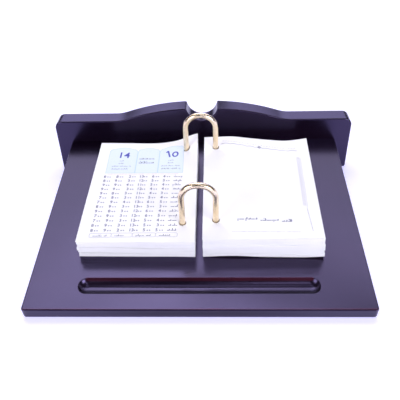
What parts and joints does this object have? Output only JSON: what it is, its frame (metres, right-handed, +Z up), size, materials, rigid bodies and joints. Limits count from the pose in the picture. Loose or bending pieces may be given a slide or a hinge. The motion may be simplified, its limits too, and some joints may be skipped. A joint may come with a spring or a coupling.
{
  "type": "desk calendar",
  "caption": "Sloping lacquered desk calendar stand with loose leaves on twin brass arches, a pen groove, a scrolled back board and a shallow side drawer.",
  "frame": {"origin": "on the desk, under the middle of the whole object", "axes": "+X to the right along the back board, +Y from the pen groove to the back board, +Z up"},
  "size_m": [0.333, 0.2482, 0.1028],
  "materials": {
    "lacquer": "dark wine lacquer, polished",
    "frame_wood": "stained, satin",
    "drawer_wood": "bare, fine sanded",
    "brass": "polished",
    "paper": "matt",
    "steel": "plain",
    "felt": "felt"
  },
  "bodies": {
    "stand": {"back_board": "lacquer", "back_screws": "steel", "bay_end_rail": "frame_wood", "bay_front_rail": "frame_wood", "bay_rear_rail": "frame_wood", "drawer_runners": "drawer_wood", "drawer_stop": "frame_wood", "frame_screws": "steel", "front_arch_bushes": "brass", "front_feet": "felt", "front_rail": "frame_wood", "left_cheek": "frame_wood", "rear_arch_bushes": "brass", "rear_feet": "felt", "right_cheek": "frame_wood", "top_board": "lacquer", "under_panel": "frame_wood"},
    "drawer": {"drawer_front": "lacquer", "drawer_bottom": "drawer_wood", "drawer_inner_end": "drawer_wood", "drawer_near_side": "drawer_wood", "drawer_far_side": "drawer_wood", "drawer_knob": "brass", "knob_screw": "steel"},
    "front_arch": {"front_arch": "brass"},
    "rear_arch": {"rear_arch": "brass"},
    "left_pages": {"left_page_block": "paper"},
    "right_pages": {"right_page_block": "paper"},
    "left_leaf": {"left_top_leaf": "paper"},
    "right_leaf": {"right_top_leaf": "paper"}
  },
  "joints": [
    {"name": "drawer_slide", "type": "slide", "parent": "stand", "child": "drawer", "axis": [1, 0, 0], "range_m": [0, 0.16]},
    {"name": "front_arch_lift", "type": "slide", "parent": "stand", "child": "front_arch", "axis": [0, -0.1219, 0.9925], "range_m": [0, 0.045]},
    {"name": "rear_arch_lift", "type": "slide", "parent": "stand", "child": "rear_arch", "axis": [0, -0.1219, 0.9925], "range_m": [0, 0.045]},
    {"name": "left_pages_lift", "type": "slide", "parent": "stand", "child": "left_pages", "axis": [0, -0.1219, 0.9925], "range_m": [0, 0.02]},
    {"name": "right_pages_lift", "type": "slide", "parent": "stand", "child": "right_pages", "axis": [0, -0.1219, 0.9925], "range_m": [0, 0.02]},
    {"name": "left_leaf_turn", "type": "hinge", "parent": "left_pages", "child": "left_leaf", "pos_m": [-0.0212, -0.07014, 0.03858], "axis": [0, 0.9925, 0.1219], "range_deg": [0, 85]},
    {"name": "right_leaf_turn", "type": "hinge", "parent": "right_pages", "child": "right_leaf", "pos_m": [0.0212, -0.07057, 0.04206], "axis": [0, -0.9925, -0.1219], "range_deg": [0, 85]}
  ]
}
